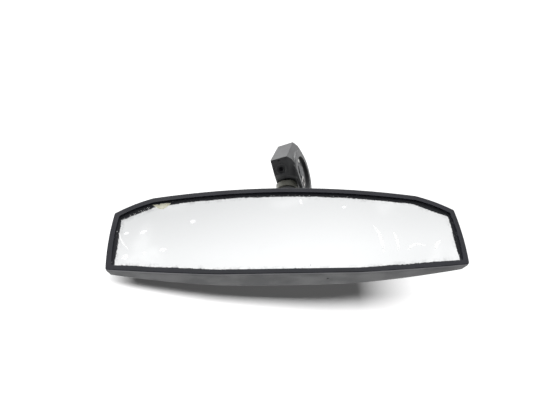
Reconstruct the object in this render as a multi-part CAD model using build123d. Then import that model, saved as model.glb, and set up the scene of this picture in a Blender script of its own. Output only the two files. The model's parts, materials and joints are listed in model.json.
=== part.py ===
"""Interior rearview mirror with a two-ball arm and a clip-on windscreen foot, in millimetres.

Working axes: x to the mirror's right as the driver sees it, y forwards (away from the driver), z up.
Working origin: the middle of the head's lower front edge. Every finished part is then moved so that
the row's origin is the centre of the foot's rim, where the foot seats against the windscreen.
"""

from build123d import *
from math import atan, cos, hypot, radians, sin, tan
import os

# ---------------------------------------------------------------- head outline, seen from the front
KINK = (48.5, -4.8)             # end of the flat middle of the lower edge
LOWER_CORNER = (125.0, 0.0)
UPPER_CORNER = (120.3, 42.5)
SHOULDER = (93.9, 54.3)         # where the cut-off corner meets the long top arc
CROWN = 61.7                    # top of that arc
LOWER_BOW, END_BOW, SHOULDER_BOW = 0.4, 1.2, 0.9   # how far each edge bulges
CORNER_ROUND = 1.6

# ---------------------------------------------------------------- head, front to back
LIP_WIDTH, LIP_THICK = 3.4, 1.5
BEZEL_DEPTH = 3.0
PART_GAP = 0.25                 # shadow line between bezel and housing
HOUSING_FRONT = BEZEL_DEPTH + PART_GAP
END_DRAFT, TOP_DRAFT, BOTTOM_DRAFT = 18.0, 14.0, 3.5   # how steeply each housing wall leans in
HOUSING_WALL, REBATE_WALL, REBATE_DEPTH = 2.2, 1.15, 4.0
HEAD_DEPTH = 26.0               # at the deepest point of the back
BACK_RADIUS, BACK_CROSS_RADIUS, BACK_CROSS_Z = 504.0, 150.0, 5.0
BACK_EDGE_ROUND = 2.0
SKIRT_DEPTH, SKIRT_THICK = 3.5, 1.0
GLASS_INSET, GLASS_THICK = 2.6, 2.4
PAD_INSET, PAD_THICK = 4.8, 1.0
CARRIER_INSET, CARRIER_THICK = 4.6, 1.6
CARRIER_FRONT = LIP_THICK + GLASS_THICK + PAD_THICK + 0.1
CARRIER_BACK = CARRIER_FRONT + CARRIER_THICK
POSTS = [(-84.0, 18.0), (84.0, 18.0), (-44.0, 46.0), (44.0, 46.0)]
POST_RADIUS, POST_HOLE, POST_SCREW, POST_SCREW_LENGTH = 3.6, 1.3, 1.25, 8.5
RIB_HEIGHT, RIB_THICK = 1.8, 1.4
LONG_RIBS = [(8.0, 92.0), (24.0, 92.0), (42.0, 70.0)]   # z, and half its length
CROSS_RIBS, CROSS_RIB_Z, CROSS_RIB_LENGTH = (-72.0, -30.0, 30.0, 72.0), 25.0, 36.0
RATTLE_PAD, RATTLE_PAD_X, RATTLE_PAD_Z = (9.0, 4.2, 12.0), 100.0, 22.0
DRAIN_HOLE = (26.5, 11.0, 0.75)  # x, y and radius of the drain in the lower wall

# ---------------------------------------------------------------- ball joints
RUN = 0.05                      # running clearance of every sliding fit, on the radius
HEAD_PIVOT = (0.0, 17.0, 33.0)
HEAD_BALL, HEAD_LINER = 7.0, 1.05
FOOT_BALL, FOOT_LINER = 5.6, 0.95
HEAD_STEM, FOOT_STEM = 2.4, 1.9
SOCKET_RADIUS, SOCKET_SCREW_RING = 14.0, 11.4
SOCKET_SCREW, SOCKET_HOLE = 1.2, 1.3
SOCKET_TOP = 21.0
WASHER_GAP = 1.2                # space that the disc spring takes up
WASHER_INNER, WASHER_OUTER, WASHER_THICK = 3.5, 8.0, 0.5
HUB_RADIUS, HUB_FRONT, HUB_BACK, HUB_ROUND = 17.2, 12.0, 24.4, 1.8
HUB_SPACE = 0.4                 # air left round the socket inside the hub
APERTURE_FRONT, APERTURE_BACK = 9.2, 10.6

# ---------------------------------------------------------------- foot
SEAT = (21.0, 50.0, 102.1)      # centre of the rim that seats on the windscreen
SEAT_AZIMUTH = -24.4            # the rim faces right, turned this far towards the driver
CUP_OUTER, CUP_RECESS, CUP_DEPTH, CUP_WALL_BACK = 19.6, 14.6, 2.8, 3.8
RIM_ROUND, CUP_BACK_BEVEL = 0.7, 1.2
RIM_FLAT_REACH, RIM_FLARE = 15.6, 49.0   # the rim's flat side, flared out from the chamfer flat
RECESS_FLAT_REACH = 12.4
FOOT_PIVOT_BACK, FOOT_PIVOT_ASIDE, FOOT_PIVOT_Z = 13.2, 5.0, 104.2
MOUTH_DROP, MOUTH_RADIUS = 10.0, 7.0
# Each flat of the foot block: direction it faces (azimuth from the driver's side towards +x,
# elevation) in degrees, and its distance from the foot ball's centre.
FLATS = {
    "front": (3.7, -45.7, 16.0),
    "chamfer": (21.1, -42.4, 15.6),
    "upper_left": (-19.7, 38.1, 18.5),
    "upper_right": (36.7, 21.1, 17.2),
    "left_high": (-85.5, 23.0, 13.8),
    "left_low": (-103.4, -8.4, 8.9),
    "crown_left": (-149.9, 63.8, 17.8),
    "crown_right": (139.2, 59.1, 20.5),
    "back": (180.0, 18.0, 14.0),
    "back_low": (180.0, -35.0, 12.0),
    "under": (0.0, -90.0, MOUTH_DROP),
}
RIM_SIDE_FLATS = ["upper_right", "crown_right"]
BLOCK_SET_BACK, BLOCK_BEVEL, BLOCK_EDGE_ROUND = 0.05, 1.1, 0.3
SCREW_SPOT = (1.4, 34.5, 97.5)  # roughly where the locking screw enters the front flat
SCREW_RADIUS, SCREW_LENGTH, SCREW_RECESS, SCREW_HOLE_DEPTH = 1.9, 4.2, 1.7, 7.0
SCREW_HEX, SCREW_HEX_DEPTH = 1.1, 1.8
BOSS_RADIUS, BOSS_BORE, BOSS_HEIGHT, BOSS_DEPTH = 4.3, 3.5, 0.6, 1.3
VENT_SPOT, VENT_RADIUS, VENT_DEPTH = (-0.7, 29.5, 102.2), 0.65, 2.5
PLUG_RADIUS, PLUG_LENGTH = 7.45, 7.7
CLIP_WIDTH, CLIP_THICK, CLIP_RISE, CLIP_HALF = 10.4, 0.7, 1.1, 12.2
CLIP_CORNER = 1.8
CLIP_TURN, CLIP_ASIDE = 25.0, 2.3   # how the leaf lies across the cup
RIVET_SPAN, RIVET_RADIUS, RIVET_GRIP = 10.2, 1.1, 1.4
RIVET_HEAD_RADIUS, RIVET_HEAD_HEIGHT = 1.7, 0.6
LOOP_WIRE, LOOP_ASIDE = 0.45, 2.6

# ---------------------------------------------------------------- arm
ARM_RADIUS = 6.4
COLLAR_RADIUS, COLLAR_BASE, COLLAR_DROP = 8.5, 88.4, 1.0
COLLAR_CHAMFER = 0.6
STEM_NECK = 2.6
ARM_HEAD_RADIUS = 7.0


# ================================================================ helpers
def on_y(x, z, y):
    return (x, y, z)


def inset_corner(before, corner, after, d_before, d_after):
    """The corner where the two edges through it meet once each has moved inwards."""
    ax, az = corner[0] - before[0], corner[1] - before[1]
    bx, bz = after[0] - corner[0], after[1] - corner[1]
    la, lb = hypot(ax, az), hypot(bx, bz)
    n1, n2 = (-az / la, ax / la), (-bz / lb, bx / lb)
    det = n1[0] * n2[1] - n1[1] * n2[0]
    dx = (d_before * n2[1] - d_after * n1[1]) / det
    dz = (n1[0] * d_after - n2[0] * d_before) / det
    return corner[0] + dx, corner[1] + dz


def bowed(p, q, bow, y):
    """Edge from p to q that bulges outwards by bow, for a loop run anticlockwise."""
    if bow == 0:
        return Line(on_y(*p, y), on_y(*q, y))
    dx, dz = q[0] - p[0], q[1] - p[1]
    length = hypot(dx, dz)
    mid = ((p[0] + q[0]) / 2 + bow * dz / length, (p[1] + q[1]) / 2 - bow * dx / length)
    return ThreePointArc(on_y(*p, y), on_y(*mid, y), on_y(*q, y))


def outline(y, end=0.0, top=0.0, bottom=0.0):
    """The head's outline as a face at depth y, with its ends, top and bottom pulled in."""
    top_angle = 2 * atan((CROWN - SHOULDER[1]) / SHOULDER[0])
    past_shoulder = (SHOULDER[0] - cos(top_angle), SHOULDER[1] + sin(top_angle))
    before_kink = (0.0, KINK[1])
    kink = inset_corner(before_kink, KINK, LOWER_CORNER, bottom, bottom)
    lower = inset_corner(KINK, LOWER_CORNER, UPPER_CORNER, bottom, end)
    upper = inset_corner(LOWER_CORNER, UPPER_CORNER, SHOULDER, end, top)
    shoulder = inset_corner(UPPER_CORNER, SHOULDER, past_shoulder, top, top)
    right = [kink, lower, upper, shoulder]
    left = [(-x, z) for x, z in reversed(right)]
    bows = [LOWER_BOW, END_BOW, SHOULDER_BOW]
    edges = [bowed(left[-1], right[0], 0, y)]
    edges += [bowed(right[i], right[i + 1], bows[i], y) for i in range(3)]
    edges.append(ThreePointArc(on_y(*shoulder, y), (0, y, CROWN - top), on_y(*left[0], y)))
    edges += [bowed(left[i], left[i + 1], bows[2 - i], y) for i in range(3)]
    face = Face(Wire(edges))
    corners = [v for v in face.vertices() if v.Z > kink[1] + 1]
    return face.fillet_2d(CORNER_ROUND, corners)


def plate(inset, y0, y1):
    """A straight-sided plate of the outline's shape, inset all round, from y0 to y1."""
    return extrude(outline(y0, inset, inset, inset), amount=y1 - y0, dir=(0, 1, 0))


def drafted(inset, y0, y1):
    """As plate, but its walls lean in with the housing's draft."""
    def at(y):
        run = y - HOUSING_FRONT
        return outline(
            y,
            inset + run * tan(radians(END_DRAFT)),
            inset + run * tan(radians(TOP_DRAFT)),
            inset + run * tan(radians(BOTTOM_DRAFT)),
        )
    return loft([at(y0), at(y1)], ruled=True)


def back_dome(inset):
    """Everything in front of the head's gently domed back, moved forwards by inset."""
    apex = HEAD_DEPTH - inset
    axis_y = apex - BACK_RADIUS
    low, high = BACK_CROSS_Z - 45, BACK_CROSS_Z + 75
    fall_low = 45 ** 2 / (2 * BACK_CROSS_RADIUS)
    fall_high = 75 ** 2 / (2 * BACK_CROSS_RADIUS)
    profile = Face(Wire([
        Line((0, axis_y, low), (0, apex - fall_low, low)),
        ThreePointArc((0, apex - fall_low, low), (0, apex, BACK_CROSS_Z), (0, apex - fall_high, high)),
        Line((0, apex - fall_high, high), (0, axis_y, high)),
        Line((0, axis_y, high), (0, axis_y, low)),
    ]))
    disc = revolve(profile, Axis((0, axis_y, 0), (0, 0, 1)), 360)
    return disc & Pos(0, 15, 25) * Box(300, 40, 160)


def rod(start, direction, radius, length):
    """Cylinder from start along direction."""
    return extrude(Plane(origin=start, z_dir=direction) * Circle(radius), amount=length)


def cone(start, direction, r0, r1, length):
    """Cone frustum from start along direction."""
    place = Plane(origin=start, z_dir=direction)
    return place * Pos(0, 0, length / 2) * Cone(r0, r1, length)


def ball(centre, radius):
    return Pos(*centre) * Sphere(radius)


def facing(azimuth, elevation):
    """Unit vector from an azimuth (0 faces the driver, 90 faces +x) and an elevation."""
    a, e = radians(azimuth), radians(elevation)
    return Vector(sin(a) * cos(e), -cos(a) * cos(e), sin(e))


def moved(point, direction, distance):
    return Vector(*point) + Vector(*direction) * distance


def countersunk_screw(head_at, direction, radius, length):
    """Countersunk screw whose flat head ends at head_at and whose shank runs along direction."""
    head = cone(head_at, direction, 2 * radius, radius, radius)
    slot = Plane(origin=head_at, z_dir=direction) * Box(3 * radius, 0.4 * radius, 0.9 * radius)
    return head + rod(head_at, direction, radius, length) - slot


# ================================================================ derived places
FOOT_AXIS = Vector(cos(radians(SEAT_AZIMUTH)), sin(radians(SEAT_AZIMUTH)), 0)   # out of the cup
FOOT_SIDE = Vector(sin(radians(SEAT_AZIMUTH)), -cos(radians(SEAT_AZIMUTH)), 0)  # towards the driver
_pivot = moved(moved(SEAT, FOOT_AXIS, -FOOT_PIVOT_BACK), FOOT_SIDE, FOOT_PIVOT_ASIDE)
FOOT_PIVOT = (_pivot.X, _pivot.Y, FOOT_PIVOT_Z)
MOUTH_Z = FOOT_PIVOT_Z - MOUTH_DROP
SEAT_PLANE = Plane(origin=SEAT, x_dir=(0, 0, 1), z_dir=FOOT_AXIS)


# ================================================================ head
def front_bezel():
    frame = plate(0, 0, BEZEL_DEPTH)
    frame = fillet(frame.edges().filter_by_position(Axis.Y, -0.01, 0.01), 0.5)
    frame -= plate(GLASS_INSET - 0.1, LIP_THICK, BEZEL_DEPTH + 1)
    frame -= plate(LIP_WIDTH, -1, LIP_THICK + 1)
    skirt_end = BEZEL_DEPTH + SKIRT_DEPTH
    inset = REBATE_WALL + 0.1
    skirt = drafted(inset, BEZEL_DEPTH, skirt_end)
    skirt -= drafted(inset + SKIRT_THICK, BEZEL_DEPTH - 0.5, skirt_end + 0.5)
    return frame + skirt


def mirror_glass():
    glass = plate(GLASS_INSET, LIP_THICK, LIP_THICK + GLASS_THICK)
    return chamfer(glass.edges().filter_by_position(Axis.Y, LIP_THICK - 0.01, LIP_THICK + 0.01), 0.3)


def glass_pad():
    back = LIP_THICK + GLASS_THICK
    return plate(PAD_INSET, back, back + PAD_THICK)


def rear_housing():
    shell = drafted(0, HOUSING_FRONT, 30) & back_dome(0)
    rear = shell.edges().filter_by(lambda e: e.center().Y > HOUSING_FRONT + 3)
    rear = rear.filter_by(lambda e: abs(e.position_at(0).Y - e.position_at(1).Y) < 6)
    shell = fillet(rear.filter_by(lambda e: e.length > 30), BACK_EDGE_ROUND)
    hollow = drafted(HOUSING_WALL, HOUSING_FRONT - 0.5, 30) & back_dome(HOUSING_WALL)
    rebate = drafted(REBATE_WALL, HOUSING_FRONT - 0.5, HOUSING_FRONT + REBATE_DEPTH)
    shell -= hollow + rebate
    px, _, pz = HEAD_PIVOT
    hub = rod((px, HUB_FRONT, pz), (0, 1, 0), HUB_RADIUS, HUB_BACK - HUB_FRONT)
    rim = hub.edges().filter_by_position(Axis.Y, HUB_BACK - 0.01, HUB_BACK + 0.01)
    shell += fillet(rim, HUB_ROUND)
    shell -= rod((px, 0, pz), (0, 1, 0), SOCKET_RADIUS + HUB_SPACE, SOCKET_TOP + HUB_SPACE)
    for x, z in POSTS:
        post = rod((x, CARRIER_BACK + 0.1, z), (0, 1, 0), POST_RADIUS, 30) & back_dome(1)
        shell += post - rod((x, CARRIER_BACK, z), (0, 1, 0), POST_HOLE, 8)
    shell -= cone((px, SOCKET_TOP - 1.0, pz), (0, 1, 0), APERTURE_FRONT, APERTURE_BACK, 7)
    x, y, radius = DRAIN_HOLE
    shell -= rod((x, y, -10), (0, 0, 1), radius, 12)
    return shell


def carrier_plate():
    body = plate(CARRIER_INSET, CARRIER_FRONT, CARRIER_BACK)
    px, _, pz = HEAD_PIVOT
    rib_y = CARRIER_BACK + RIB_HEIGHT / 2
    for z, half in LONG_RIBS:
        body += Pos(0, rib_y, z) * Box(2 * half, RIB_HEIGHT, RIB_THICK)
    for x in CROSS_RIBS:
        body += Pos(x, rib_y, CROSS_RIB_Z) * Box(RIB_THICK, RIB_HEIGHT, CROSS_RIB_LENGTH)
    clear = SOCKET_RADIUS + 0.6
    body -= rod((px, CARRIER_BACK, pz), (0, 1, 0), clear, 10)
    for x, z in socket_screw_spots():
        body += rod((x, CARRIER_BACK, z), (0, 1, 0), 2.4, WASHER_GAP - 0.05)
        body -= rod((x, CARRIER_FRONT + 0.3, z), (0, 1, 0), SOCKET_SCREW + RUN, 10)
    for x, z in POSTS:
        body -= rod((x, CARRIER_BACK, z), (0, 1, 0), POST_RADIUS + 0.4, RIB_HEIGHT + 1)
        body -= cone((x, CARRIER_FRONT, z), (0, 1, 0), 2 * POST_SCREW + RUN, POST_SCREW + RUN, POST_SCREW)
        body -= rod((x, CARRIER_FRONT, z), (0, 1, 0), POST_SCREW + RUN, 10)
    return body


def socket_screw_spots():
    px, _, pz = HEAD_PIVOT
    angles = [radians(a) for a in (90, 210, 330)]
    return [(px + SOCKET_SCREW_RING * cos(a), pz + SOCKET_SCREW_RING * sin(a)) for a in angles]


def carrier_screws():
    return [countersunk_screw((x, CARRIER_FRONT, z), (0, 1, 0), POST_SCREW, POST_SCREW_LENGTH)
            for x, z in POSTS]


def socket_cavity():
    return ball(HEAD_PIVOT, HEAD_BALL + HEAD_LINER + 2 * RUN)


def socket_block():
    px, py, pz = HEAD_PIVOT
    front = CARRIER_BACK + WASHER_GAP
    body = rod((px, front, pz), (0, 1, 0), SOCKET_RADIUS, py - front) - socket_cavity()
    for x, z in socket_screw_spots():
        body -= rod((x, front - 1, z), (0, 1, 0), SOCKET_HOLE, 20)
    return body


def retainer_ring():
    px, py, pz = HEAD_PIVOT
    body = rod((px, py, pz), (0, 1, 0), SOCKET_RADIUS, SOCKET_TOP - py) - socket_cavity()
    for x, z in socket_screw_spots():
        body -= rod((x, py - 1, z), (0, 1, 0), SOCKET_HOLE, 20)
        body -= cone((x, SOCKET_TOP, z), (0, -1, 0), 2 * SOCKET_SCREW + RUN, SOCKET_SCREW + RUN, SOCKET_SCREW)
    return body


def socket_screws():
    length = SOCKET_TOP - CARRIER_FRONT - 0.6
    return [countersunk_screw((x, SOCKET_TOP, z), (0, -1, 0), SOCKET_SCREW, length)
            for x, z in socket_screw_spots()]


def spring_washer():
    px, _, pz = HEAD_PIVOT
    low, high = CARRIER_BACK, CARRIER_BACK + WASHER_GAP
    inner, outer = px + WASHER_INNER, px + WASHER_OUTER
    profile = Polyline(
        (inner, high - WASHER_THICK, pz), (inner, high, pz), (outer, low + WASHER_THICK, pz),
        (outer, low, pz), close=True)
    return revolve(Face(Wire(profile.edges())), Axis((px, 0, pz), (0, 1, 0)), 360)


def rattle_pads():
    y = CARRIER_BACK + RATTLE_PAD[1] / 2 + 0.1
    return [Pos(x, y, RATTLE_PAD_Z) * Box(*RATTLE_PAD) for x in (-RATTLE_PAD_X, RATTLE_PAD_X)]


def liner(centre, ball_radius, thickness, opening_direction, half_angle):
    """Thin spherical cup round a ball, open on one side for the stem."""
    shell = ball(centre, ball_radius + RUN + thickness) - ball(centre, ball_radius + RUN)
    reach = 2 * ball_radius
    return shell - cone(centre, opening_direction, 0.01, reach * tan(radians(half_angle)), reach)


def bored_ball(centre, radius, stem_radius, stem_direction):
    """Ball with a through bore for the stem, a flat at the stem's side and a pocket for its clip."""
    body = ball(centre, radius)
    far = moved(centre, stem_direction, -radius - 1)
    body -= rod(far, stem_direction, stem_radius + RUN, 2 * radius + 2)
    body -= rod(far, stem_direction, stem_radius + 1.3, 3.0)
    body -= rod(moved(centre, stem_direction, 0.94 * radius), stem_direction, radius, radius)
    return body


# ================================================================ arm
def stem(centre, radius, ball_radius, neck_radius, direction, reach):
    """Steel stem: a pin through the ball with a groove at its end, then a neck out to reach."""
    tip = moved(centre, direction, -ball_radius + 1.0)
    pin = rod(tip, direction, radius, 2 * ball_radius)
    groove_at = moved(centre, direction, -ball_radius + 1.4)
    pin -= rod(groove_at, direction, radius + 1, 0.5) - rod(groove_at, direction, radius - 0.35, 0.5)
    neck_at = moved(centre, direction, 0.94 * ball_radius + RUN)
    return pin + rod(neck_at, direction, neck_radius, reach - 0.94 * ball_radius - RUN)


def stem_clip(centre, radius, ball_radius, direction):
    """Split ring in the stem's groove."""
    at = moved(centre, direction, -ball_radius + 1.45)
    ring = rod(at, direction, radius + 1.1, 0.4) - rod(at, direction, radius - 0.3, 0.4)
    place = Plane(origin=at, z_dir=direction)
    return ring - place * Pos(radius + 0.5, 0, 0) * Box(2.4, 1.2, 2)


def arm_path():
    px, _, pz = HEAD_PIVOT
    fx, fy, _ = FOOT_PIVOT
    points = [(px, 31.0, pz), (px, 46.0, pz), (fx, fy, 74.0), (fx, fy, COLLAR_BASE - 3.0)]
    return FilletPolyline(*points, radius=[13.0, 30.0])


def arm_body():
    px, _, pz = HEAD_PIVOT
    fx, fy, _ = FOOT_PIVOT
    path = arm_path()
    tube = sweep(Plane(origin=path @ 0, z_dir=path % 0) * Circle(ARM_RADIUS), path=path)
    tube += cone((px, 25.0, pz), (0, 1, 0), 4.2, ARM_RADIUS, 6.0)
    top = COLLAR_BASE - 0.3
    tube += rod((fx, fy, 81.0), (0, 0, 1), ARM_HEAD_RADIUS, top - 81.0)
    tube += cone((fx, fy, 77.5), (0, 0, 1), ARM_RADIUS, ARM_HEAD_RADIUS, 3.5)
    tube -= rod((px, 24.0, pz), (0, 1, 0), 3.2, 8.0)
    return tube - rod((fx, fy, top - 9.0), (0, 0, 1), STEM_NECK, 10.0)


def head_stem():
    return stem(HEAD_PIVOT, HEAD_STEM, HEAD_BALL, 3.2, (0, 1, 0), 32.0 - HEAD_PIVOT[1])


def foot_stem():
    reach = FOOT_PIVOT_Z - (COLLAR_BASE - 9.3)
    return stem(FOOT_PIVOT, FOOT_STEM, FOOT_BALL, STEM_NECK, (0, 0, -1), reach)


def stem_clips():
    return [stem_clip(HEAD_PIVOT, HEAD_STEM, HEAD_BALL, (0, 1, 0)),
            stem_clip(FOOT_PIVOT, FOOT_STEM, FOOT_BALL, (0, 0, -1))]


def arm_collar():
    fx, fy, _ = FOOT_PIVOT
    top = MOUTH_Z - COLLAR_DROP
    body = rod((fx, fy, COLLAR_BASE), (0, 0, 1), COLLAR_RADIUS, top - COLLAR_BASE)
    body = chamfer(body.edges().filter_by_position(Axis.Z, top - 0.01, top + 0.01), COLLAR_CHAMFER)
    return body - rod((fx, fy, COLLAR_BASE - 1), (0, 0, 1), STEM_NECK + RUN, 12)


# ================================================================ foot
def half_space_cut(solid, normal, point):
    """Removes what lies beyond the plane through point that faces normal."""
    return split(solid, bisect_by=Plane(origin=point, z_dir=normal), keep=Keep.BOTTOM)


def foot_block():
    """The faceted block: a large box cut back to each of its flats in turn."""
    block = Pos(*FOOT_PIVOT) * Box(90, 90, 90)
    for azimuth, elevation, distance in FLATS.values():
        normal = facing(azimuth, elevation)
        block = half_space_cut(block, normal, moved(FOOT_PIVOT, normal, distance))
    back_of_cup = FOOT_PIVOT_BACK - BLOCK_SET_BACK
    block = half_space_cut(block, FOOT_AXIS, moved(FOOT_PIVOT, FOOT_AXIS, back_of_cup))
    for name in RIM_SIDE_FLATS:
        azimuth, elevation, distance = FLATS[name]
        normal = facing(azimuth, elevation)
        lean = normal.dot(FOOT_AXIS)
        along_flat = (distance - lean * back_of_cup) / (1 - lean * lean)
        along_axis = (back_of_cup - lean * distance) / (1 - lean * lean)
        corner = Vector(*FOOT_PIVOT) + normal * along_flat + FOOT_AXIS * along_axis
        bevel = (normal + FOOT_AXIS).normalized()
        block = half_space_cut(block, bevel, corner - bevel * BLOCK_BEVEL)
    return fillet(block.edges(), BLOCK_EDGE_ROUND)


def ball_cavity():
    return ball(FOOT_PIVOT, FOOT_BALL + FOOT_LINER + 2 * RUN)


def mouth_cone():
    """Room for the stem to lean in, open at the block's underside."""
    reach = MOUTH_DROP + 1.5
    return cone(FOOT_PIVOT, (0, 0, -1), 0.01, reach * MOUTH_RADIUS / MOUTH_DROP, reach)


def chamfer_outwards():
    """Direction in the seat plane that the block's chamfer flat faces."""
    azimuth, elevation, _ = FLATS["chamfer"]
    normal = facing(azimuth, elevation)
    return (normal - FOOT_AXIS * normal.dot(FOOT_AXIS)).normalized()


def cup():
    """The round rim and its floor, with a flat side that flares out from the block's chamfer."""
    body = SEAT_PLANE * Pos(0, 0, -CUP_WALL_BACK / 2) * Cylinder(CUP_OUTER, CUP_WALL_BACK)
    along = Axis((0, 0, 0), FOOT_AXIS)
    body = fillet(body.edges().filter_by(GeomType.CIRCLE).sort_by(along)[-1], RIM_ROUND)
    body = chamfer(body.edges().filter_by(GeomType.CIRCLE).sort_by(along)[0], CUP_BACK_BEVEL)
    out = chamfer_outwards()
    flare = out * cos(radians(RIM_FLARE)) - FOOT_AXIS * sin(radians(RIM_FLARE))
    return half_space_cut(body, flare, moved(SEAT, out, RIM_FLAT_REACH))


def recess():
    """The hollow in the rim that the leaf lies in, flat on the same side as the rim."""
    body = SEAT_PLANE * Pos(0, 0, -CUP_DEPTH / 2) * Cylinder(CUP_RECESS, CUP_DEPTH)
    out = chamfer_outwards()
    return half_space_cut(body, out, moved(SEAT, out, RECESS_FLAT_REACH))


def foot_body():
    body = foot_block() - mouth_cone() + cup()
    body -= recess() + ball_cavity()
    body -= rod(FOOT_PIVOT, FOOT_AXIS, PLUG_RADIUS, FOOT_PIVOT_BACK)
    at, inward = screw_axis()
    boss_top = moved(at, inward, -BOSS_HEIGHT)
    body += rod(boss_top, inward, BOSS_RADIUS, 1.0 + BOSS_HEIGHT)
    body -= rod(boss_top, inward, BOSS_BORE, BOSS_DEPTH)
    body -= rod(boss_top, inward, SCREW_RADIUS, SCREW_HOLE_DEPTH)
    body -= rod(moved(VENT_SPOT, inward, -1), inward, VENT_RADIUS, VENT_DEPTH + 1)
    for spot in rivet_spots():
        body -= rod(moved(spot, FOOT_AXIS, -RIVET_GRIP), FOOT_AXIS, RIVET_RADIUS, RIVET_GRIP + 1)
    return body


def screw_axis():
    """Where the locking screw's axis meets the front flat, and its direction into the block."""
    azimuth, elevation, distance = FLATS["front"]
    normal = facing(azimuth, elevation)
    off = (Vector(*SCREW_SPOT) - Vector(*FOOT_PIVOT)).dot(normal) - distance
    return Vector(*SCREW_SPOT) - normal * off, normal * -1


def locking_screw():
    at, inward = screw_axis()
    start = moved(at, inward, SCREW_RECESS - BOSS_HEIGHT)
    body = rod(start, inward, SCREW_RADIUS, SCREW_LENGTH)
    hexagon = Plane(origin=start, z_dir=inward) * RegularPolygon(SCREW_HEX, 6)
    return body - extrude(hexagon, amount=SCREW_HEX_DEPTH)


def socket_plug():
    """Press-in plug that closes the socket from the cup's side, with a slot to turn it by."""
    body = rod(FOOT_PIVOT, FOOT_AXIS, PLUG_RADIUS, PLUG_LENGTH) - ball_cavity() - mouth_cone()
    body = half_space_cut(body, Vector(0, 0, -1), (FOOT_PIVOT[0], FOOT_PIVOT[1], MOUTH_Z))
    end = Plane(origin=moved(FOOT_PIVOT, FOOT_AXIS, PLUG_LENGTH), z_dir=FOOT_AXIS)
    return body - end * Box(1.6, 9.0, 1.0)


CLIP_PLANE = SEAT_PLANE * Pos(0, CLIP_ASIDE, -CUP_DEPTH) * Rot(0, 0, CLIP_TURN)


def rivet_spots():
    """Where the leaf's two rivets enter the cup's floor."""
    return [(CLIP_PLANE * Pos(side * RIVET_SPAN, 0, 0)).position for side in (-1, 1)]


def spring_clip():
    """Steel leaf riveted across the cup's floor, bowed outwards in the middle."""
    flat, bend = CLIP_HALF, RIVET_SPAN - 2.2
    crest = bend - 3.4
    spine = [(-flat, 0), (-bend, 0), (-crest, CLIP_RISE), (crest, CLIP_RISE), (bend, 0), (flat, 0)]
    upper = [(x, z + CLIP_THICK) for x, z in reversed(spine)]
    section = Face(Wire(Polyline(*[(x, 0, z) for x, z in spine + upper], close=True).edges()))
    leaf = extrude(section, amount=CLIP_WIDTH / 2, both=True, dir=(0, 1, 0))
    corners = leaf.edges().filter_by(Axis.Z)
    leaf = CLIP_PLANE * fillet(corners, CLIP_CORNER)
    for spot in rivet_spots():
        leaf -= rod(moved(spot, FOOT_AXIS, -1), FOOT_AXIS, RIVET_RADIUS, 4)
    return leaf


def clip_rivets():
    rivets = []
    for spot in rivet_spots():
        shank = rod(moved(spot, FOOT_AXIS, -RIVET_GRIP), FOOT_AXIS, RIVET_RADIUS, RIVET_GRIP + CLIP_THICK)
        head = rod(moved(spot, FOOT_AXIS, CLIP_THICK), FOOT_AXIS, RIVET_HEAD_RADIUS, RIVET_HEAD_HEIGHT)
        top = head.faces().sort_by(Axis((0, 0, 0), FOOT_AXIS))[-1]
        rivets.append(shank + fillet(top.edges(), 0.4))
    return rivets


def release_loop():
    """Bent wire eye that stands on the leaf's lower bend, used to pull the clip off its button."""
    on_leaf = CLIP_RISE + CLIP_THICK + LOOP_WIRE + 0.03
    near, far = LOOP_ASIDE + 3.0, LOOP_ASIDE - 3.2
    corners = [
        (-2.6, LOOP_ASIDE - 0.7, on_leaf), (-4.3, LOOP_ASIDE - 0.7, on_leaf), (-7.4, far, 2.3),
        (-11.2, LOOP_ASIDE - 0.2, 2.2), (-7.4, near, 2.3), (-4.3, LOOP_ASIDE + 0.7, on_leaf),
        (-2.6, LOOP_ASIDE + 0.7, on_leaf),
    ]
    path = CLIP_PLANE * FilletPolyline(*corners, radius=0.6)
    return sweep(Plane(origin=path @ 0, z_dir=path % 0) * Circle(LOOP_WIRE), path=path)


# ================================================================ export
def compound(shape):
    return Compound(children=shape) if isinstance(shape, list) else shape


PARTS = {
    "front_bezel": front_bezel,
    "mirror_glass": mirror_glass,
    "glass_pad": glass_pad,
    "rear_housing": rear_housing,
    "carrier_plate": carrier_plate,
    "carrier_screws": carrier_screws,
    "socket_block": socket_block,
    "retainer_ring": retainer_ring,
    "socket_screws": socket_screws,
    "spring_washer": spring_washer,
    "rattle_pads": rattle_pads,
    "head_liner": lambda: liner(HEAD_PIVOT, HEAD_BALL, HEAD_LINER, (0, 1, 0), 57),
    "head_ball": lambda: bored_ball(HEAD_PIVOT, HEAD_BALL, HEAD_STEM, (0, 1, 0)),
    "head_stem": head_stem,
    "arm_body": arm_body,
    "arm_collar": arm_collar,
    "foot_stem": foot_stem,
    "stem_clips": stem_clips,
    "foot_ball": lambda: bored_ball(FOOT_PIVOT, FOOT_BALL, FOOT_STEM, (0, 0, -1)),
    "foot_liner": lambda: liner(FOOT_PIVOT, FOOT_BALL, FOOT_LINER, (0, 0, -1), 44),
    "foot_body": foot_body,
    "socket_plug": socket_plug,
    "locking_screw": locking_screw,
    "spring_clip": spring_clip,
    "clip_rivets": clip_rivets,
    "release_loop": release_loop,
}

os.makedirs("parts", exist_ok=True)
to_row = Pos(-SEAT[0], -SEAT[1], -SEAT[2])
for name, make in PARTS.items():
    export_step(to_row * compound(make()), f"parts/{name}.step")
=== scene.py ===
"""Looks of the interior rearview mirror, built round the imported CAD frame."""
import json
import math
import random

import bmesh
import bpy
from mathutils import Matrix, Vector


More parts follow.
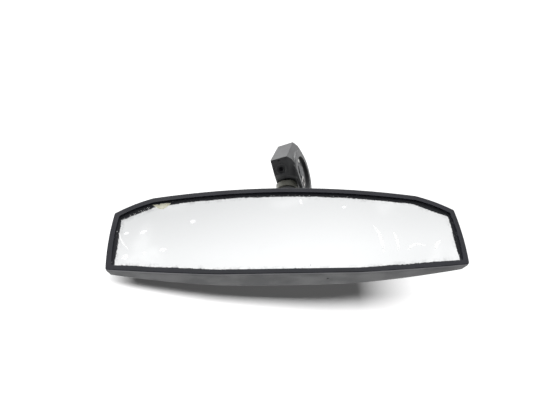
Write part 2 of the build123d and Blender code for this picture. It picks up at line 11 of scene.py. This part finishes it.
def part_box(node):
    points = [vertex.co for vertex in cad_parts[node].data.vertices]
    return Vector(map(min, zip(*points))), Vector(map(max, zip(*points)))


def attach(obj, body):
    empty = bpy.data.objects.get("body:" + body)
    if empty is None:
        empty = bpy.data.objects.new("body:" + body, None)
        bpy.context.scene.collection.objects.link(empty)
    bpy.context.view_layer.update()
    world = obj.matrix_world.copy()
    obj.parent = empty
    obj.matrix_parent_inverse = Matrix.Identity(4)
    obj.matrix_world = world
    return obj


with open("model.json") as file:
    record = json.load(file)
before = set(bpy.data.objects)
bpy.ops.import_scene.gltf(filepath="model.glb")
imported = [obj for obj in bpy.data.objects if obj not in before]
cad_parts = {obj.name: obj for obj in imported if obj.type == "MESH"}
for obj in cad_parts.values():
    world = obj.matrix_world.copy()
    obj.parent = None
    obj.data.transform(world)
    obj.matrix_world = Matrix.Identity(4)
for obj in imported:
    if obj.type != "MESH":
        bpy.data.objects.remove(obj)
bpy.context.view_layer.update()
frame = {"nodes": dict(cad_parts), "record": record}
nodes = frame["nodes"]
scene = bpy.context.scene

MM = 0.001
LOWER_EDGE_DROP = 4.8          # how far the bezel's lowest edge lies under the head's datum, mm
bezel_lo, bezel_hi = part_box("front_bezel")
HEAD = Vector(((bezel_lo.x + bezel_hi.x) / 2, bezel_lo.y, bezel_lo.z + LOWER_EDGE_DROP * MM))


def head(x, y, z):
    """Point given in millimetres from the middle of the head's lower front edge."""
    return HEAD + Vector((x, y, z)) * MM


def link_object(obj):
    scene.collection.objects.link(obj)
    return obj


# ---------------------------------------------------------------- camera
CAMERA_AT = head(-61.3, -528.05, -235.6)
CAMERA_RIGHT = Vector((0.99610, -0.07315, -0.04941)).normalized()
CAMERA_UP = Vector((0.00906, -0.47198, 0.88156))
CAMERA_LENS = 55.64            # focal length on a sensor 36 mm wide


def add_camera():
    """Camera below and in front of the head, looking up at it."""
    back = CAMERA_RIGHT.cross(CAMERA_UP).normalized()
    up = back.cross(CAMERA_RIGHT).normalized()
    data = bpy.data.cameras.new("camera")
    data.sensor_width = 36.0
    data.lens = CAMERA_LENS
    data.clip_start = 0.01
    data.clip_end = 20.0
    camera = link_object(bpy.data.objects.new("camera", data))
    turn = Matrix((CAMERA_RIGHT, up, back)).transposed()
    camera.matrix_world = Matrix.Translation(CAMERA_AT) @ turn.to_4x4()
    scene.camera = camera


add_camera()
scene.view_settings.view_transform = "Standard"


# ---------------------------------------------------------------- node helpers
class Net:
    """A material or world node tree with short ways to add nodes."""

    def __init__(self, owner):
        owner.use_nodes = True
        self.tree = owner.node_tree
        self.tree.nodes.clear()

    def node(self, kind, **inputs):
        """New node; an input's name is given with _ for each space."""
        made = self.tree.nodes.new(kind)
        for name, value in inputs.items():
            self.put(made.inputs[name.replace("_", " ")], value)
        return made

    def put(self, socket, value):
        """Feed a socket from another one, or give it a plain value."""
        if isinstance(value, bpy.types.NodeSocket):
            self.tree.links.new(value, socket)
        else:
            socket.default_value = value

    def link(self, a, b):
        self.tree.links.new(a, b)

    def math(self, operation, a, b=0.0):
        made = self.node("ShaderNodeMath")
        made.operation = operation
        self.put(made.inputs[0], a)
        self.put(made.inputs[1], b)
        return made.outputs[0]

    def ramp(self, value, low, high, a=0.0, b=1.0, smooth=True):
        """Value mapped from low..high to a..b and held there outside."""
        made = self.node("ShaderNodeMapRange")
        made.interpolation_type = "SMOOTHSTEP" if smooth else "LINEAR"
        made.clamp = True
        named = {"Value": value, "From Min": low, "From Max": high, "To Min": a, "To Max": b}
        for name, setting in named.items():
            self.put(made.inputs[name], setting)
        return made.outputs["Result"]

    def mix(self, factor, a, b):
        """Colour a where the factor is 0, colour b where it is 1."""
        made = self.node("ShaderNodeMix")
        made.data_type = "RGBA"
        colour_a, colour_b, colour_out = 6, 7, 2
        self.put(made.inputs[0], factor)
        self.put(made.inputs[colour_a], a)
        self.put(made.inputs[colour_b], b)
        return made.outputs[colour_out]

    def times(self, a, b):
        return self.math("MULTIPLY", a, b)

    def plus(self, a, b):
        return self.math("ADD", a, b)

    def minus(self, a, b):
        return self.math("SUBTRACT", a, b)

    def choose(self, factor, a, b):
        """Shader a where the factor is 0, shader b where it is 1."""
        made = self.node("ShaderNodeMixShader")
        self.put(made.inputs[0], factor)
        self.link(a.outputs[0], made.inputs[1])
        self.link(b.outputs[0], made.inputs[2])
        return made

    def finish(self, shader):
        """Send a shader to the material's output."""
        out = self.node("ShaderNodeOutputMaterial")
        self.link(shader.outputs[0], out.inputs["Surface"])

    def place(self):
        """Position in the row frame, in metres, that stays with the piece as it moves."""
        return self.node("ShaderNodeTexCoord").outputs["Object"]

    def noise(self, scale, detail=3.0, rough=0.5, distort=0.0, vector=None):
        made = self.node("ShaderNodeTexNoise", Scale=scale, Detail=detail, Roughness=rough,
                         Distortion=distort)
        self.link(vector or self.place(), made.inputs["Vector"])
        return made.outputs["Fac"]

    def cells(self, scale):
        """Distance from the nearest of many scattered points."""
        made = self.node("ShaderNodeTexVoronoi", Scale=scale)
        self.link(self.place(), made.inputs["Vector"])
        return made.outputs["Distance"]

    def stretched(self, x, y, z):
        """Position scaled along each axis, so that a pattern is drawn out along the small ones."""
        made = self.node("ShaderNodeMapping", Vector=self.place(), Scale=(x, y, z))
        return made.outputs["Vector"]

    def bump(self, height, strength, distance):
        made = self.node("ShaderNodeBump", Height=height, Strength=strength, Distance=distance)
        return made.outputs["Normal"]

    def edge(self, radius):
        """1 near edges and in corners, 0 on flats."""
        bevel = self.node("ShaderNodeBevel", Radius=radius)
        bevel.samples = 4
        true = self.node("ShaderNodeNewGeometry").outputs["Normal"]
        return self.ramp(self.dot(bevel.outputs["Normal"], true), 0.995, 0.9)

    def dot(self, a, b):
        """Dot product of two vectors."""
        made = self.node("ShaderNodeVectorMath")
        made.operation = "DOT_PRODUCT"
        self.put(made.inputs[0], a)
        self.put(made.inputs[1], b)
        return made.outputs["Value"]


def grey(v, tint=(1.0, 1.0, 1.0)):
    return (v * tint[0], v * tint[1], v * tint[2], 1.0)


def scaled(colour, factor):
    """Colour made darker or lighter, no lighter than white."""
    return tuple(min(1.0, c * factor) for c in colour[:3]) + (1.0,)


def surface(net, **inputs):
    net.finish(net.node("ShaderNodeBsdfPrincipled", **inputs))


def new_material(name):
    material = bpy.data.materials.new(name)
    return material, Net(material)


def plastic(name, colour, rough=0.45, grain=0.35, depth=0.02, wear=0.35, blotch=0.12, worn=2.2):
    """Moulded plastic with a fine grain, slight blotches, pale worn edges and hairline scratches.

    grain and depth are the size and height of the grain in mm, and worn is how much paler a rubbed
    edge is than the colour.
    """
    material, net = new_material(name)
    rubbed = scaled(colour, worn)
    blotches = net.ramp(net.noise(38.0, 4.0, 0.6), 0.3, 0.7)
    base = net.mix(blotches, scaled(colour, 1 - blotch), scaled(colour, 1 + blotch))
    patchy = net.ramp(net.noise(260.0, 3.0), 0.35, 0.65, 0.35, 1.0)
    edge = net.times(net.edge(0.45 * MM), patchy)
    base = net.mix(net.times(edge, wear), base, rubbed)
    streak = net.noise(900.0, 2.0, 0.6, 0.0, net.stretched(0.05, 1.0, 1.0))
    scratch = net.ramp(streak, 0.72, 0.78, 0.0, 0.35)
    base = net.mix(scratch, base, rubbed)
    per_metre = 1000.0 / grain
    pits = net.cells(per_metre)
    fine = net.noise(per_metre * 0.6, 4.0)
    normal = net.bump(net.plus(pits, net.times(fine, 0.7)), 0.5, depth * MM)
    gloss = net.ramp(net.noise(60.0, 5.0), 0.3, 0.7, rough - 0.06, rough + 0.08)
    surface(net, Base_Color=base, Roughness=gloss, Normal=normal)
    return material


def metal(name, colour, rough=0.35, brushed=(1.0, 0.06, 1.0), wear=0.4, dull=0.3):
    """Bare or plated metal with drawn streaks, dull patches and bright edges."""
    material, net = new_material(name)
    streak = net.noise(1500.0, 3.0, 0.6, 0.0, net.stretched(*brushed))
    patch = net.ramp(net.noise(120.0, 5.0, 0.65), 0.35, 0.7)
    base = net.mix(patch, colour, scaled(colour, 1 - dull))
    base = net.mix(net.times(net.edge(0.2 * MM), wear), base, scaled(colour, 1.5))
    gloss = net.ramp(streak, 0.3, 0.7, rough - 0.08, rough + 0.1)
    gloss = net.plus(gloss, net.times(patch, 0.1))
    normal = net.bump(streak, 0.25, 0.01 * MM)
    surface(net, Base_Color=base, Metallic=1.0, Roughness=gloss, Normal=normal)
    return material


def foam(name, colour):
    """Closed-cell foam: small round cells and a dusty sheen."""
    material, net = new_material(name)
    cell = net.cells(1400.0)
    base = net.mix(net.ramp(cell, 0.1, 0.7), scaled(colour, 0.5), colour)
    surface(net, Base_Color=base, Roughness=0.92, Normal=net.bump(cell, 0.8, 0.1 * MM))
    return material


# ---------------------------------------------------------------- glass
# The head's outline is the same at the left and the right. Sizes are in mm from the head's datum.
LIP = 3.4                      # width of the bezel's lip in front of the glass
STRAIGHT_EDGES = [             # a point on the outline, the inward normal, width of the black border
    ((125.0, 0.0), (-0.994, -0.110), 1.9),
    ((120.3, 42.5), (-0.408, -0.913), 3.0),
    ((125.0, 0.0), (-0.063, 0.998), 0.55),
]
LOWER_BLACK = 0.35
CROWN_Z = 61.7                 # top of the outline's arched upper edge
CROWN_RADIUS = 599.4
CROWN_BLACK = 3.0


def border_gap(net):
    """Distance in mm from the black border's nominal inner edge, more than 0 on the clear glass."""
    split = net.node("ShaderNodeSeparateXYZ", Vector=net.place())
    x = net.times(net.minus(split.outputs["X"], HEAD.x), 1 / MM)
    z = net.times(net.minus(split.outputs["Z"], HEAD.z), 1 / MM)
    side = net.math("ABSOLUTE", x)
    gap = net.minus(z, LIP + LOWER_BLACK - LOWER_EDGE_DROP)
    for (px, pz), (nx, nz), black in STRAIGHT_EDGES:
        along = net.times(net.minus(side, px), nx)
        across = net.times(net.minus(z, pz), nz)
        gap = net.math("MINIMUM", gap, net.minus(net.plus(along, across), LIP + black))
    rise = net.minus(z, CROWN_Z - CROWN_RADIUS)
    reach = net.math("SQRT", net.plus(net.times(x, x), net.times(rise, rise)))
    return net.math("MINIMUM", gap, net.minus(CROWN_RADIUS - LIP - CROWN_BLACK, reach))


def mirror_glass():
    """Silvered glass whose backing has turned black and flaked away round its edge."""
    material, net = new_material("old_mirror")
    ragged = net.times(net.minus(net.noise(640.0, 6.0, 0.75), 0.5), 2.4)
    lobes = net.times(net.minus(net.noise(70.0, 3.0, 0.5), 0.5), 1.6)
    gap = net.plus(border_gap(net), net.plus(ragged, lobes))
    black = net.ramp(gap, 0.35, -0.15)
    spotty = net.ramp(net.noise(260.0, 5.0, 0.6), 0.4, 0.7, 0.0, 0.28)
    tarnish = net.times(net.ramp(gap, 3.5, 0.0), spotty)
    here_and_there = net.ramp(net.noise(160.0, 2.0), 0.56, 0.64)
    fleck = net.times(net.ramp(net.cells(620.0), 0.2, 0.12), here_and_there)
    black = net.times(black, net.minus(1.0, fleck))
    haze = net.ramp(net.noise(16.0, 4.0, 0.6, 0.6), 0.35, 0.75, 0.0, 0.06)
    colour = net.mix(haze, (0.93, 0.94, 0.945, 1), (0.78, 0.8, 0.81, 1))
    colour = net.mix(tarnish, colour, (0.12, 0.12, 0.13, 1))
    colour = net.mix(black, colour, (0.010, 0.011, 0.016, 1))
    wiped = net.ramp(net.noise(55.0, 5.0, 0.6, 1.5), 0.45, 0.8, 0.0, 0.05)
    rough = net.plus(net.ramp(black, 0.0, 1.0, 0.045, 0.55), wiped)
    metallic = net.ramp(black, 0.0, 1.0, 1.0, 0.0)
    surface(net, Base_Color=colour, Metallic=metallic, Roughness=rough, Specular_IOR_Level=0.3)
    return material


# ---------------------------------------------------------------- materials of the CAD nodes
COOL = (0.92, 0.98, 1.08)
NAVY = (0.9, 0.95, 1.4)
finish = {
    "housing": plastic("housing_grain", grey(0.028, COOL), 0.5, 0.4, 0.03, 0.3, 0.1, 2.0),
    "bezel": plastic("bezel_satin", grey(0.016, NAVY), 0.36, 0.3, 0.012, 0.4, 0.14, 4.0),
    "carrier": plastic("carrier_plain", grey(0.16), 0.5, 0.6, 0.02, 0.2),
    "socket": plastic("socket_nylon", grey(0.09), 0.42, 0.5, 0.02, 0.3),
    "liner": plastic("liner_nylon", (0.62, 0.6, 0.54, 1), 0.35, 0.6, 0.01, 0.15, 0.06, 1.1),
    "collar": plastic("collar_satin", (0.150, 0.150, 0.125, 1), 0.4, 0.5, 0.01, 0.3, 0.08, 1.8),
    "foot": plastic("foot_grain", grey(0.075, (0.98, 1.0, 1.03)), 0.45, 0.35, 0.025, 0.6, 0.1, 2.4),
    "arm": plastic("arm_powder_coat", grey(0.045, (0.98, 1.0, 1.05)), 0.4, 0.55, 0.03, 0.25, 0.1, 3.0),
    "zinc": metal("zinc_plate", (0.56, 0.56, 0.53, 1), 0.32),
    "spring": metal("spring_steel", (0.46, 0.45, 0.44, 1), 0.34),
    "leaf": metal("blued_spring_steel", (0.115, 0.118, 0.125, 1), 0.42, (1.0, 1.0, 0.06), 0.9),
    "ball": metal("ball_steel", (0.5, 0.5, 0.5, 1), 0.22, (1.0, 1.0, 0.08)),
    "black_steel": metal("black_oxide", (0.06, 0.06, 0.065, 1), 0.38),
    "foam": foam("backing_foam", (0.03, 0.03, 0.03, 1)),
    "mirror": mirror_glass(),
}
NODES_WITH = {
    "bezel": ["front_bezel"],
    "mirror": ["mirror_glass"],
    "foam": ["glass_pad", "rattle_pads"],
    "housing": ["rear_housing"],
    "carrier": ["carrier_plate"],
    "socket": ["socket_block", "retainer_ring", "socket_plug"],
    "liner": ["head_liner", "foot_liner"],
    "zinc": ["carrier_screws", "socket_screws", "clip_rivets"],
    "spring": ["spring_washer", "stem_clips", "release_loop"],
    "ball": ["head_ball", "head_stem", "foot_stem", "foot_ball"],
    "arm": ["arm_body"],
    "collar": ["arm_collar"],
    "foot": ["foot_body"],
    "black_steel": ["locking_screw"],
    "leaf": ["spring_clip"],
}
for look, names in NODES_WITH.items():
    for name in names:
        nodes[name].data.materials.clear()
        nodes[name].data.materials.append(finish[look])


# ---------------------------------------------------------------- marks on the old glass
GLASS_FACE = 1.5               # depth of the glass behind the lip's front, mm
SINK = 0.005                   # how far a mark's back lies in front of the glass, mm
FILM = 0.03                    # thickness of a flake or a dried splash, mm
BROW = 0.82                    # size of a mark's front against its back
chance = random.Random(41)


def crumb(x, z, wide, tall, turn=0.0, sides=9, ragged=0.35):
    """Irregular outline of a flake round (x, z), as points in the glass's plane."""
    points = []
    for i in range(sides):
        angle = 2 * math.pi * i / sides
        reach = 1 - ragged * chance.random()
        u = wide * reach * math.cos(angle)
        v = tall * reach * math.sin(angle)
        points.append((x + u * math.cos(turn) - v * math.sin(turn),
                       z + u * math.sin(turn) + v * math.cos(turn)))
    return points


def smear(x0, z0, x1, z1, bow, wide):
    """Outline of a long curved smear that tapers at both ends."""
    steps = 16
    dx, dz = x1 - x0, z1 - z0
    length = math.hypot(dx, dz)
    nx, nz = -dz / length, dx / length
    upper, lower = [], []
    for i in range(steps + 1):
        t = i / steps
        x, z = x0 + dx * t, z0 + dz * t
        push = bow * math.sin(math.pi * t)
        taper = math.sin(math.pi * (0.06 + 0.88 * t)) ** 0.7
        half = wide * taper * (0.85 + 0.3 * chance.random())
        upper.append((x + nx * (push + half), z + nz * (push + half)))
        lower.append((x + nx * (push - half), z + nz * (push - half)))
    return upper + lower[::-1]


def films(name, outlines, thick, material):
    """Thin flat-backed pieces on the glass, slightly domed, joined into one object."""
    back_y = GLASS_FACE - SINK
    mesh = bmesh.new()
    for points in outlines:
        cx = sum(x for x, _ in points) / len(points)
        cz = sum(z for _, z in points) / len(points)
        back = [mesh.verts.new(head(x, back_y, z)) for x, z in points]
        brow = [mesh.verts.new(head(cx + BROW * (x - cx), back_y - thick, cz + BROW * (z - cz)))
                for x, z in points]
        for i in range(len(points)):
            j = (i + 1) % len(points)
            mesh.faces.new((back[i], back[j], brow[j], brow[i]))
        mesh.faces.new(back[::-1])
        mesh.faces.new(brow)
    bmesh.ops.recalc_face_normals(mesh, faces=mesh.faces)
    data = bpy.data.meshes.new(name)
    mesh.to_mesh(data)
    mesh.free()
    data.materials.append(material)
    piece = link_object(bpy.data.objects.new(name, data))
    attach(piece, "head")
    return piece


def crown_edge(x, inside):
    """Height of the window's top edge at x, less a distance inside it."""
    return CROWN_Z - CROWN_RADIUS + math.sqrt(CROWN_RADIUS ** 2 - x * x) - LIP - inside


def top_flakes():
    """A row of crumbs over the middle of the top edge."""
    found = []
    for i in range(26):
        x = -30 + 3.1 * i + chance.uniform(-1.0, 1.0)
        size = chance.uniform(0.2, 0.42)
        found.append(crumb(x, crown_edge(x, chance.uniform(1.9, 3.0)), size, size * 0.8))
    return found


def end_flakes():
    """Fine crumbs along the ends, twice as many at the left as at the right."""
    found = []
    for _ in range(60):
        side = chance.choice((-1, -1, 1))
        z = chance.uniform(3, 40)
        x = side * (121.0 - 0.115 * z - chance.uniform(0.9, 3.2))
        wide = chance.uniform(0.1, 0.3)
        tall = chance.uniform(0.12, 0.35)
        found.append(crumb(x, z, wide, tall, chance.random() * 3))
    return found


def corner_flakes():
    """Crumbs along the cut-off corner at the left."""
    found = []
    for _ in range(44):
        t = chance.random()
        size = chance.uniform(0.12, 0.45)
        x = -(115.6 - 23.5 * t) + chance.uniform(0.2, 1.2)
        z = 40.2 + 10.6 * t - chance.uniform(0.4, 3.4)
        found.append(crumb(x, z, size, size * 0.6, 0.4))
    return found


def splashes():
    """Dried drops: six round ones at the left, two near the top at the right."""
    return [
        crumb(-66.3, 36.1, 2.2, 1.7, 0.3, 14, 0.25),
        crumb(-100.6, 28.4, 3.4, 1.3, 0.35, 14, 0.3),
        crumb(-112.0, 27.5, 2.2, 1.1, 0.3, 12, 0.3),
        crumb(-112.3, 9.6, 2.6, 2.0, 0.8, 14, 0.25),
        crumb(-86.8, 14.5, 2.6, 1.5, 0.1, 12, 0.3),
        crumb(-99.5, 12.2, 1.2, 1.1, 0.0, 12, 0.2),
        crumb(41.0, 46.5, 2.0, 1.2, 0.4, 10, 0.3),
        crumb(10.4, 51.0, 1.2, 2.3, 0.3, 12, 0.3),
    ]


def smears():
    """Wiped streaks: four at the right end and a thin one at the left."""
    return [
        smear(61.0, 31.5, 66.0, 10.5, 1.6, 1.1),
        smear(74.5, 26.0, 76.5, 12.0, 1.0, 1.0),
        smear(83.0, 12.5, 96.0, 15.5, 2.5, 0.8),
        smear(103.0, 12.0, 108.0, 19.0, 1.4, 1.2),
        smear(-117.0, 28.0, -110.0, 15.0, -1.2, 0.5),
    ]


CHIP_OUTLINE = [(-94.6, 49.6), (-91.0, 49.9), (-90.2, 49.0), (-88.8, 50.4), (-85.0, 50.9),
                (-81.6, 50.8), (-83.4, 48.8), (-86.0, 46.6), (-88.6, 45.9), (-91.0, 47.0)]


def glowing_haze_film(name, colour, opacity):
    """Thin dried film, partly see-through and denser in patches, with a painted glow: its emission stands
    in for the glass's light that it scatters.
    """
    material, net = new_material(name)
    # the emission is painted light, a glow for the light that the film scatters back from the mirror
    paint = net.node("ShaderNodeBsdfPrincipled", Base_Color=colour, Roughness=0.5,
                     Emission_Color=colour, Emission_Strength=0.3)
    clear = net.node("ShaderNodeBsdfTransparent")
    density = net.ramp(net.noise(300.0, 4.0), 0.3, 0.7, opacity * 0.6, opacity)
    net.finish(net.choose(density, clear, paint))
    return material


def crumb_paint(name, light, dark, scale):
    """Flaking layer, mottled between two tones, with a rough surface."""
    material, net = new_material(name)
    tone = net.noise(scale, 5.0, 0.65)
    surface(net, Base_Color=net.mix(net.ramp(tone, 0.3, 0.7), dark, light), Roughness=0.6,
            Normal=net.bump(tone, 0.6, 0.03 * MM))
    return material


bare_silver = crumb_paint("bare_silver", (0.95, 0.95, 0.93, 1), (0.5, 0.5, 0.5, 1), 900.0)
bare_lacquer = crumb_paint("bare_lacquer", (0.95, 0.94, 0.80, 1), (0.80, 0.78, 0.58, 1), 500.0)
grey_grit = crumb_paint("grey_grit", (0.2, 0.2, 0.2, 1), (0.1, 0.1, 0.1, 1), 900.0)
glowing_splash_film = glowing_haze_film("glowing_splash_film", (0.96, 0.96, 0.97, 1), 0.62)
glowing_smear_film = glowing_haze_film("glowing_smear_film", (0.97, 0.97, 0.97, 1), 0.55)
marks = [
    films("silver_flakes", top_flakes() + end_flakes() + corner_flakes(), FILM, bare_silver),
    # the splash and smear films are real dried marks that also carry a painted glow
    films("glowing_dried_splashes", splashes(), FILM, glowing_splash_film),
    films("glowing_wiping_smears", smears(), FILM, glowing_smear_film),
    films("lacquer_chip", [CHIP_OUTLINE], 2.5 * FILM, bare_lacquer),
    films("grit_speck", [crumb(13.8, 1.6, 0.42, 0.36)], 3 * FILM, grey_grit),
]


# ---------------------------------------------------------------- surroundings
DIM_SIDE = Vector((-0.08, -0.80, -0.60)).normalized()    # the dim part of the room, low in front
BACKDROP = 0.816               # the plain pale grey that the camera sees past the board


def room_level(net, ray, glossy):
    """Brightness of the room that lights the object: paler above, dim low in front."""
    split = net.node("ShaderNodeSeparateXYZ", Vector=ray)
    x, y, z = split.outputs
    level = net.ramp(z, -0.9, 0.5, 0.38, 1.0)
    toward = net.dot(ray, DIM_SIDE)
    # a level view of the glass meets paler surroundings than the ones that light the plastic
    level_look = net.times(net.ramp(z, -0.38, -0.20), glossy)
    darkest = net.ramp(level_look, 0.0, 1.0, 0.12, 0.74, smooth=False)
    level = net.times(level, net.ramp(toward, 0.25, 0.85, 1.0, darkest))
    # the part seen in the glass from below: less pale at the left and right, brightest low down
    seen = net.times(net.ramp(z, 0.2, 0.35), net.ramp(y, -0.55, -0.75))
    across = net.ramp(x, -0.14, 0.12, 0.645, 0.79)
    across = net.times(across, net.ramp(x, 0.14, 0.31, 1.0, 0.84))
    low = net.ramp(z, 0.50, 0.42, 0.0, 0.31, smooth=False)
    shapes = net.ramp(net.noise(11.0, 2.0, 0.5, 0.8, ray), 0.60, 0.66, 0.0, 0.10)
    shapes = net.times(shapes, net.ramp(z, 0.30, 0.38))
    inside = net.plus(net.plus(across, low), shapes)
    return net.plus(net.times(level, net.minus(1.0, seen)), net.times(inside, seen))


def surroundings():
    """Soft pale room, one plain tone where the camera sees it."""
    world = bpy.data.worlds.new("surroundings")
    scene.world = world
    net = Net(world)
    ray = net.node("ShaderNodeTexCoord").outputs["Generated"]
    light_path = net.node("ShaderNodeLightPath")
    level = room_level(net, ray, light_path.outputs["Is Glossy Ray"])
    room = net.node("ShaderNodeBackground", Color=grey(1.0), Strength=level)
    plain = net.node("ShaderNodeBackground", Color=grey(BACKDROP), Strength=1.0)
    which = net.choose(light_path.outputs["Is Camera Ray"], room, plain)
    out = net.node("ShaderNodeOutputWorld")
    net.link(which.outputs[0], out.inputs["Surface"])


surroundings()


# ---------------------------------------------------------------- stage
STAGE_NORMAL = Vector((0.651, -0.759, 0.0))    # turned so that the head's shadow starts close at the left
STAGE_CENTRE = head(0, 173, 28)
STAGE_SIZE = 3.0


def pale_floor():
    """One-sided pale board that the mirror lies in front of; from behind it can be seen through."""
    mesh = bpy.data.meshes.new("pale_floor")
    side = STAGE_NORMAL.cross(Vector((0, 0, 1))).normalized()
    up = side.cross(STAGE_NORMAL).normalized()
    half = STAGE_SIZE / 2
    signs = ((-1, -1), (1, -1), (1, 1), (-1, 1))
    corners = [STAGE_CENTRE + side * half * a + up * half * b for a, b in signs]
    mesh.from_pydata(corners, [], [(0, 1, 2, 3)])
    if mesh.polygons[0].normal.dot(STAGE_NORMAL) < 0:
        mesh.flip_normals()
    material, net = new_material("pale_board")
    tone = net.ramp(net.noise(9.0, 3.0), 0.3, 0.7, 0.97, 1.0)
    paint = net.node("ShaderNodeBsdfDiffuse", Color=net.mix(tone, grey(0.16), grey(0.17)))
    clear = net.node("ShaderNodeBsdfTransparent")
    behind = net.node("ShaderNodeNewGeometry").outputs["Backfacing"]
    net.finish(net.choose(behind, paint, clear))
    mesh.materials.append(material)
    board = link_object(bpy.data.objects.new("pale_floor", mesh))
    return board


# ---------------------------------------------------------------- lights
LAMP_WAY = Vector((0.0365, 1.0, 0.3048)).normalized()    # the way the wide lamp's light travels
LAMP_DISTANCE = 10.0           # metres, as are its width and height
LAMP_WIDTH = 3.2
LAMP_HEIGHT = 0.8
LAMP_POWER = 10500.0


def group(name, objects):
    """Collection outside the scene, for a light's receivers or blockers."""
    collection = bpy.data.collections.new(name)
    for obj in objects:
        collection.objects.link(obj)
    return collection


def area_light(name, shape, at, towards, size, power, receivers):
    """Area light aimed at a point, which lights only its receivers."""
    data = bpy.data.lights.new(name, "AREA")
    data.shape = shape
    data.size = size
    data.energy = power
    light = link_object(bpy.data.objects.new(name, data))
    light.location = at
    light.rotation_mode = "QUATERNION"
    light.rotation_quaternion = (towards - at).to_track_quat("-Z", "Y")
    light.light_linking.receiver_collection = receivers
    return light


def add_lights(floor):
    """A far wide lamp for the head's shadow on the board, and two lights for the mirror itself."""
    head_nodes = [nodes[n] for n in frame["record"]["behaviour"]["bodies"]["head"]]
    mirror_group = group("the_mirror", list(nodes.values()) + marks)
    head_group = group("the_head", head_nodes)
    floor_group = group("the_floor", [floor])
    datum = head(0, 0, 0)
    lamp = area_light("wide_lamp", "RECTANGLE", datum - LAMP_WAY * LAMP_DISTANCE, datum,
                      size=LAMP_WIDTH, power=LAMP_POWER, receivers=floor_group)
    lamp.data.size_y = LAMP_HEIGHT
    lamp.light_linking.blocker_collection = head_group
    area_light("overhead", "DISK", head(-160, -260, 760), head(0, 20, 70), size=0.5, power=5.0,
               receivers=mirror_group)
    area_light("right_side", "DISK", head(640, -120, 250), head(10, 40, 90), size=0.35, power=1.2,
               receivers=mirror_group)


add_lights(pale_floor())
